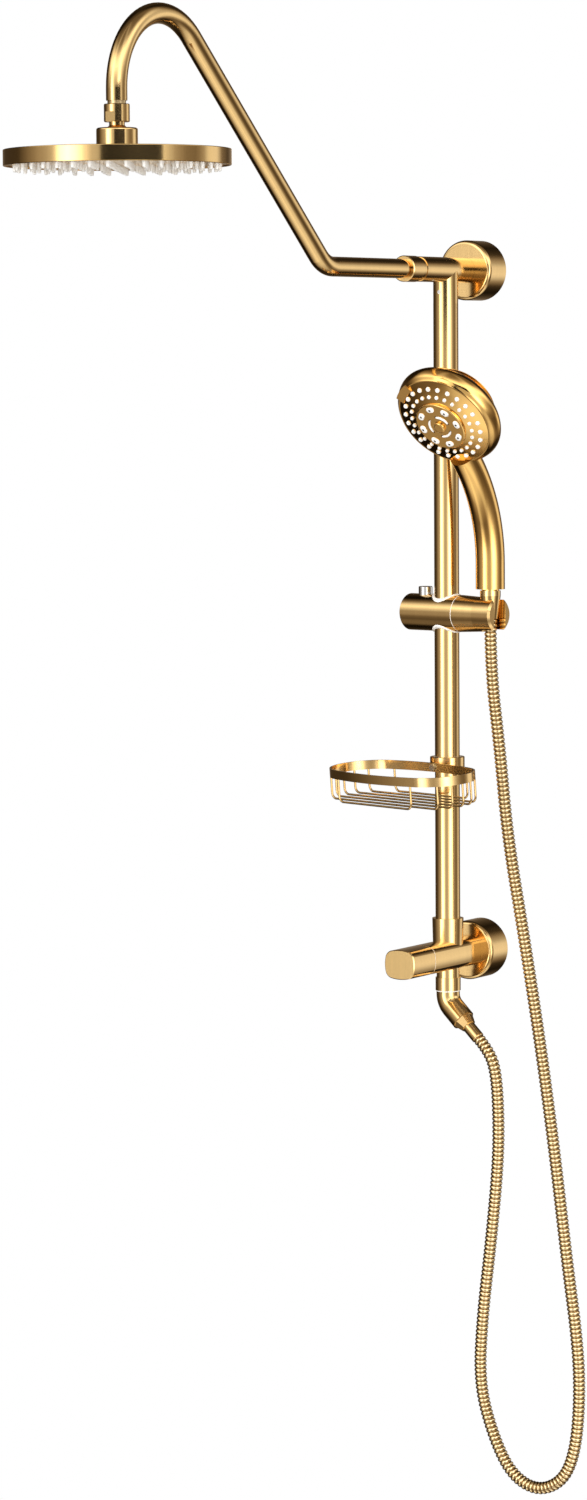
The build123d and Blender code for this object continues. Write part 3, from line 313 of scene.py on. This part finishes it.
def evenly(points, spacing):
    """The same line with its points at equal steps."""
    lengths = [0.0]
    for before, after in zip(points, points[1:]):
        lengths.append(lengths[-1] + (after - before).length)
    count = int(round(lengths[-1] / spacing))
    out, run = [], 0
    for step in range(count + 1):
        target = lengths[-1] * step / count
        while run < len(points) - 2 and lengths[run + 1] < target:
            run += 1
        share = (target - lengths[run]) / max(1e-9, lengths[run + 1] - lengths[run])
        out.append(points[run].lerp(points[run + 1], share))
    return out, lengths[-1]


def corrugated_tube(name, points, radius, groove, pattern, turns):
    """A tube of round beads along a line; pattern is the depth of the groove at each step of a bead."""
    bm = bmesh.new()
    rings = []
    normal = Vector((0, -1, 0))
    for place, centre in enumerate(points):
        ahead = points[min(place + 1, len(points) - 1)]
        behind = points[max(place - 1, 0)]
        way = (ahead - behind).normalized()
        normal = (normal - way * normal.dot(way)).normalized()
        across = way.cross(normal)
        size = radius - groove * pattern[place % len(pattern)]
        ring = []
        for step in range(turns):
            angle = 2 * math.pi * step / turns
            ring.append(bm.verts.new(centre + (normal * math.cos(angle) + across * math.sin(angle)) * size))
        rings.append(ring)
    add_rings(bm, rings)
    bm.faces.new(rings[0])
    bm.faces.new(rings[-1])
    return new_mesh(name, bm)


hose_line, hose_length = evenly(spline_points(HOSE_ROUTE), HOSE_STEP)
hose_radius = HOSE_DIAMETER / 2
hose = corrugated_tube("corrugated_hose", hose_line, hose_radius, GROOVE_DEPTH, GROOVE_PATTERN, HOSE_TURNS)
dress(hose, hose_gold)
hose.data.materials.append(hose_groove_painted_shade)
END_CAPS = 2
# The faces on each side of a bead's deepest groove take the second, darker gold: painted shade in the
# grooves.
for face in hose.data.polygons[:-END_CAPS]:
    if face.index // HOSE_TURNS % len(GROOVE_PATTERN) in (0, len(GROOVE_PATTERN) - 1):
        face.material_index = 1
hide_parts("shower_hose")
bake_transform(hose)

# ------------------------------------------------------------------ rain nozzles
plate_low, plate_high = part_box("rain_face_plate")
head_x = (plate_low[0] + plate_high[0]) / 2
head_y = (plate_low[1] + plate_high[1]) / 2
mat_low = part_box("rain_nozzle_mat")[0]
DOWN = Vector((0, 0, -1))
RIGHT = Vector((1, 0, 0))
NOZZLE_RINGS = 6
NOZZLE_SPACING = 0.0152


def rain_places():
    """One nozzle in the middle and six more on each ring outwards."""
    yield head_x, head_y
    for ring in range(1, NOZZLE_RINGS + 1):
        count = 6 * ring
        reach = NOZZLE_SPACING * ring
        for step in range(count):
            angle = 2 * math.pi * step / count
            yield head_x + reach * math.cos(angle), head_y + reach * math.sin(angle)


NOZZLE_REACH = plate_low[2] - mat_low[2]
NOZZLE_SHAPE = (
    (0.00208, -0.0008),
    (0.00208, 0.0),
    (0.00225, 0.0004),
    (0.00200, 0.0012),
    (0.00175, 0.6 * NOZZLE_REACH),
    (0.00158, 0.9 * NOZZLE_REACH),
    (0.00140, 0.97 * NOZZLE_REACH),
    (0.00110, NOZZLE_REACH),
    (0.00070, NOZZLE_REACH),
    (0.00050, 0.88 * NOZZLE_REACH),
)
bm = bmesh.new()
for x, y in rain_places():
    add_lathe(bm, Vector((x, y, plate_low[2])), DOWN, RIGHT, NOZZLE_SHAPE, 12)
rain_nozzles = new_mesh("rain_nozzles", bm)
dress(rain_nozzles, white_silicone)
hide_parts("rain_nozzle_mat")
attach(rain_nozzles, "rain_head")

# ------------------------------------------------------------------ spray face nozzles
spin = next(joint for joint in frame["record"]["behaviour"]["joints"] if joint["name"] == "spray_dial_turn")
FACE = Vector(spin["pos_m"])
OUT = Vector(spin["axis"]).normalized()
ACROSS = Vector((-OUT.y, OUT.x, 0.0)).normalized()
UPWARD = OUT.cross(ACROSS)
DIAL_RADIUS = 0.0484
DIAL_CROWN = 0.0085
FINE_ROWS = ((0.0333, 24, 0.0019, 2.0), (0.0412, 24, 0.0023, 0.0))
OVAL_RING = 0.0209
OVAL_COUNT = 8
OVAL_START = math.radians(8.0)
OVAL_SIZE = (0.0089, 0.0061)
ARC_RING = 0.0116
ARC_COUNT = 3
ARC_START = math.radians(20.0)
ARC_SPAN = math.radians(70.0)
ARC_HALF_WIDTH = 0.00125
ARC_PIECES = 16


def on_face(reach, angle, height):
    """A point on the spray face: reach and angle about its axis, height in front of its rim."""
    return FACE + ACROSS * (reach * math.cos(angle)) + UPWARD * (reach * math.sin(angle)) + OUT * height


def crown(reach):
    """Height of the domed dial in front of its rim."""
    return DIAL_CROWN * (1 - (reach / DIAL_RADIUS) ** 2)


bm = bmesh.new()
for reach, count, size, first in FINE_ROWS:
    for step in range(count):
        angle = math.radians(first) + 2 * math.pi * step / count
        shape = (
            (size, -0.0015),
            (size, 0.0002),
            (size * 0.96, 0.0010),
            (size * 0.80, 0.0015),
            (size * 0.50, 0.0016),
            (size * 0.34, 0.0015),
            (size * 0.26, 0.0004),
        )
        add_lathe(bm, on_face(reach, angle, crown(reach)), OUT, ACROSS, shape, 14)
dial_nozzles = new_mesh("dial_nozzles", bm)
dress(dial_nozzles, white_silicone)
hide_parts("fine_nozzles")
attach(dial_nozzles, "spray_dial")


def add_oval(bm, centre, along, across, length, width, profile, turns=28):
    """Adds an oval button; profile is (share of the outline, height) from its foot to its middle."""
    rings = []
    straight = (length - width) / 2
    for share, height in profile:
        ring = []
        for step in range(turns):
            angle = 2 * math.pi * step / turns
            shift = straight if math.cos(angle) > 0 else -straight
            lengthways = (shift + width / 2 * math.cos(angle)) * share
            sideways = width / 2 * math.sin(angle) * share
            ring.append(bm.verts.new(centre + along * lengthways + across * sideways + OUT * height))
        rings.append(ring)
    add_rings(bm, rings)
    bm.faces.new(rings[-1])


PLATE_FRONT = DIAL_CROWN + 0.0003
OVAL_SHAPE = ((1.0, -0.003), (1.0, 0.0002), (0.95, 0.0007), (0.82, 0.0011), (0.5, 0.0013), (0.2, 0.0013))
# A flat disc on top of each oval nozzle that carries the painted shade of its hole.
SHADE_SPOT_SHAPE = ((0.0012, 0.0010), (0.0012, 0.0014), (0.0010, 0.00145), (0.0003, 0.00145))
ARC_SHAPE = (
    (-1.0, -0.003),
    (-1.0, 0.0003),
    (-0.6, 0.0010),
    (0.0, 0.0012),
    (0.6, 0.0010),
    (1.0, 0.0003),
    (1.0, -0.003),
)


def add_ovals(bm, hole_shade_spots):
    """The ring of oval nozzles in one mesh, and in another the dark spot in the middle of each: painted
    shade standing in for the inside of its hole.
    """
    for step in range(OVAL_COUNT):
        angle = OVAL_START + 2 * math.pi * step / OVAL_COUNT
        radial = ACROSS * math.cos(angle) + UPWARD * math.sin(angle)
        around = UPWARD * math.cos(angle) - ACROSS * math.sin(angle)
        centre = on_face(OVAL_RING, angle, PLATE_FRONT)
        add_oval(bm, centre, around, radial, *OVAL_SIZE, OVAL_SHAPE)
        add_lathe(hole_shade_spots, centre, OUT, around, SHADE_SPOT_SHAPE, 12)


def add_arc(bm, start):
    """One curved nozzle, with rounded ends."""
    rings = []
    for piece in range(ARC_PIECES + 1):
        angle = start + ARC_SPAN * piece / ARC_PIECES
        to_end = min(piece + 0.4, ARC_PIECES - piece + 0.4) / ARC_PIECES
        half_width = ARC_HALF_WIDTH * min(1.0, 3.2 * to_end) ** 0.5
        ring = []
        for share, rise in ARC_SHAPE:
            ring.append(bm.verts.new(on_face(ARC_RING + half_width * share, angle, PLATE_FRONT + rise)))
        rings.append(ring)
    for before, after in zip(rings, rings[1:]):
        for side in range(len(ARC_SHAPE) - 1):
            bm.faces.new((before[side], before[side + 1], after[side + 1], after[side]))
    bm.faces.new(rings[0])
    bm.faces.new(rings[-1])


bm = bmesh.new()
hole_shade_spots = bmesh.new()
add_ovals(bm, hole_shade_spots)
for step in range(ARC_COUNT):
    add_arc(bm, ARC_START + 2 * math.pi * step / ARC_COUNT)
centre_jets = new_mesh("centre_jets", bm)
dress(centre_jets, white_silicone)
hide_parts("centre_nozzles")
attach(centre_jets, "spray_dial")
# The dark spots on the oval nozzles: painted shade where their holes are.
jet_hole_painted_shade = new_mesh("jet_hole_painted_shade", hole_shade_spots)
dress(jet_hole_painted_shade, hole_painted_shade)
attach(jet_hole_painted_shade, "spray_dial")

# ------------------------------------------------------------------ light
# What metal reflects: brightness by angle round the column, in degrees from the camera towards its right.
AZIMUTH_LEVELS = (
    (-180, 0.07), (-152, 0.015), (-115, 0.015), (-104, 0.03), (-88, 0.06), (-76, 0.09), (-68, 0.12),
    (-63, 0.20), (-57, 0.8), (-48, 1.0), (-40, 0.75), (-32, 0.36), (-24, 0.16), (-12, 0.115), (2, 0.16),
    (10, 0.38), (18, 0.8), (26, 1.0), (34, 0.85), (43, 0.45), (52, 0.20), (62, 0.09), (76, 0.03), (88, 0.02),
    (100, 0.10), (108, 0.26), (122, 0.26), (132, 0.06), (150, 0.02), (165, 0.07), (180, 0.07),
)
# How much of that ring shows at each height, from straight down (0) to straight up (1).
HEIGHT_LEVELS = (
    (0.0, 0.08), (0.25, 0.14), (0.33, 0.4), (0.40, 0.9), (0.44, 1.0), (0.55, 0.9), (0.62, 0.5), (0.72, 0.2),
    (1.0, 0.05),
)
# Light added on the camera's side at each height: a pale ground and a lamp overhead.
CANOPY_LEVELS = (
    (0.0, 0.24), (0.09, 0.22), (0.16, 0.09), (0.24, 0.03), (0.36, 0.015), (0.55, 0.04), (0.65, 0.22),
    (0.73, 0.46), (0.80, 0.36), (0.86, 0.14), (0.91, 0.05), (1.0, 0.04),
)
WORLD_STRENGTH = 3.9


def level_ramp(tree, source, levels):
    """A grey ramp read by a value from 0 to 1; levels is a list of (position, level)."""
    ramp = node(tree, "ShaderNodeValToRGB")
    tree.links.new(source, ramp.inputs["Fac"])
    elements = ramp.color_ramp.elements
    while len(elements) > 1:
        elements.remove(elements[-1])
    for spot, level in levels:
        element = elements[0] if spot == 0.0 else elements.new(spot)
        element.position = spot
        element.color = (level, level, level, 1)
    return ramp.outputs["Color"]


def along(tree, place, direction):
    """How far a direction of view points along another direction."""
    made = node(tree, "ShaderNodeVectorMath", operation="DOT_PRODUCT")
    made.inputs[1].default_value = direction
    tree.links.new(place, made.inputs[0])
    return made.outputs["Value"]


def share_of(tree, value, low, high):
    """A value as a share of the way from low to high."""
    made = node(tree, "ShaderNodeMapRange")
    made.inputs["From Min"].default_value = low
    made.inputs["From Max"].default_value = high
    tree.links.new(value, made.inputs["Value"])
    return made.outputs["Result"]


def studio_world():
    """White behind the object; what it reflects is a ring of soft lights and dark gaps."""
    world = bpy.data.worlds.new("studio")
    scene.world = world
    world.use_nodes = True
    tree = world.node_tree
    tree.nodes.clear()
    out = node(tree, "ShaderNodeOutputWorld")
    place = node(tree, "ShaderNodeTexCoord").outputs["Generated"]
    forward = along(tree, place, TOWARD)
    sideways = along(tree, place, BESIDE)
    angle = maths(tree, "ARCTAN2", sideways, forward)
    height = share_of(tree, along(tree, place, (0, 0, 1)), -1.0, 1.0)
    round_levels = [((degrees + 180) / 360, level) for degrees, level in AZIMUTH_LEVELS]
    ring = level_ramp(tree, share_of(tree, angle, -math.pi, math.pi), round_levels)
    rise = level_ramp(tree, height, HEIGHT_LEVELS)
    overhead = level_ramp(tree, height, CANOPY_LEVELS)
    ahead = share_of(tree, forward, -0.45, 0.1)
    canopy = maths(tree, "MULTIPLY", overhead, ahead)
    total = maths(tree, "ADD", maths(tree, "MULTIPLY", ring, rise), canopy)
    warmth = node(tree, "ShaderNodeValToRGB")
    warmth.color_ramp.elements[0].color = (1.0, 0.74, 0.48, 1)
    warmth.color_ramp.elements[1].color = (1.0, 0.97, 0.92, 1)
    warmth.color_ramp.elements[1].position = 0.16
    tree.links.new(total, warmth.inputs["Fac"])
    lit = node(tree, "ShaderNodeBackground")
    tree.links.new(warmth.outputs["Color"], lit.inputs["Color"])
    tree.links.new(maths(tree, "MULTIPLY", total, WORLD_STRENGTH), lit.inputs["Strength"])
    plain = node(tree, "ShaderNodeBackground", Strength=1.0)
    plain.inputs["Color"].default_value = (1, 1, 1, 1)
    ray = node(tree, "ShaderNodeLightPath")
    mix = node(tree, "ShaderNodeMixShader")
    tree.links.new(ray.outputs["Is Camera Ray"], mix.inputs["Fac"])
    tree.links.new(lit.outputs[0], mix.inputs[1])
    tree.links.new(plain.outputs[0], mix.inputs[2])
    tree.links.new(mix.outputs[0], out.inputs["Surface"])


studio_world()


def soft_light(name, place, aim, size, power):
    """A soft box that the camera doesn't see."""
    data = bpy.data.lights.new(name, "AREA")
    data.shape = "RECTANGLE"
    data.size, data.size_y = size
    data.energy = power
    light = bpy.data.objects.new(name, data)
    scene.collection.objects.link(light)
    light.location = place
    light.rotation_euler = (Vector(aim) - Vector(place)).to_track_quat("-Z", "Y").to_euler()
    light.visible_camera = False
    light.visible_glossy = False


def glow(name, level, colour):
    """A surface that gives off even light."""
    look = bpy.data.materials.new(name)
    look.use_nodes = True
    tree = look.node_tree
    tree.nodes.clear()
    out = node(tree, "ShaderNodeOutputMaterial")
    emission = node(tree, "ShaderNodeEmission", Strength=level)
    emission.inputs["Color"].default_value = (*colour, 1)
    tree.links.new(emission.outputs[0], out.inputs["Surface"])
    return look


def flat_sheet(name, size, look):
    """A square sheet of the stage, facing up."""
    bm = bmesh.new()
    bmesh.ops.create_grid(bm, x_segments=1, y_segments=1, size=size)
    sheet = new_mesh(name, bm, smooth=False)
    dress(sheet, look)
    return sheet


DARK_CARD_ANGLE = math.radians(16)
DARK_CARD_REACH = 0.62
dark_way = TOWARD * math.cos(DARK_CARD_ANGLE) + BESIDE * math.sin(DARK_CARD_ANGLE)
card = flat_sheet("dark_card", 0.5, glow("dark_card", 0.025, (1.0, 0.97, 0.92)))
card.scale = (0.70, 0.30, 1.0)
card.location = Vector((head_x, head_y, plate_low[2] + 0.02)) + dark_way * DARK_CARD_REACH
card.rotation_euler = (-dark_way).to_track_quat("Z", "Y").to_euler()
card.visible_camera = False
card.visible_diffuse = False
card.visible_shadow = False

soft_light("key", (-1.6, -3.4, 1.6), (0, -0.2, 0.3), (1.2, 2.2), 64)
soft_light("fill", (3.0, -2.2, 0.2), (0, -0.2, 0.2), (1.2, 2.4), 44)

FLOOR_GAP = 0.002
floor = flat_sheet("floor", 6.0, glow("pale_floor", 1.0, (1, 1, 1)))
floor.location.z = cad_box[0][2] - FLOOR_GAP
floor.visible_glossy = False
floor.visible_diffuse = False
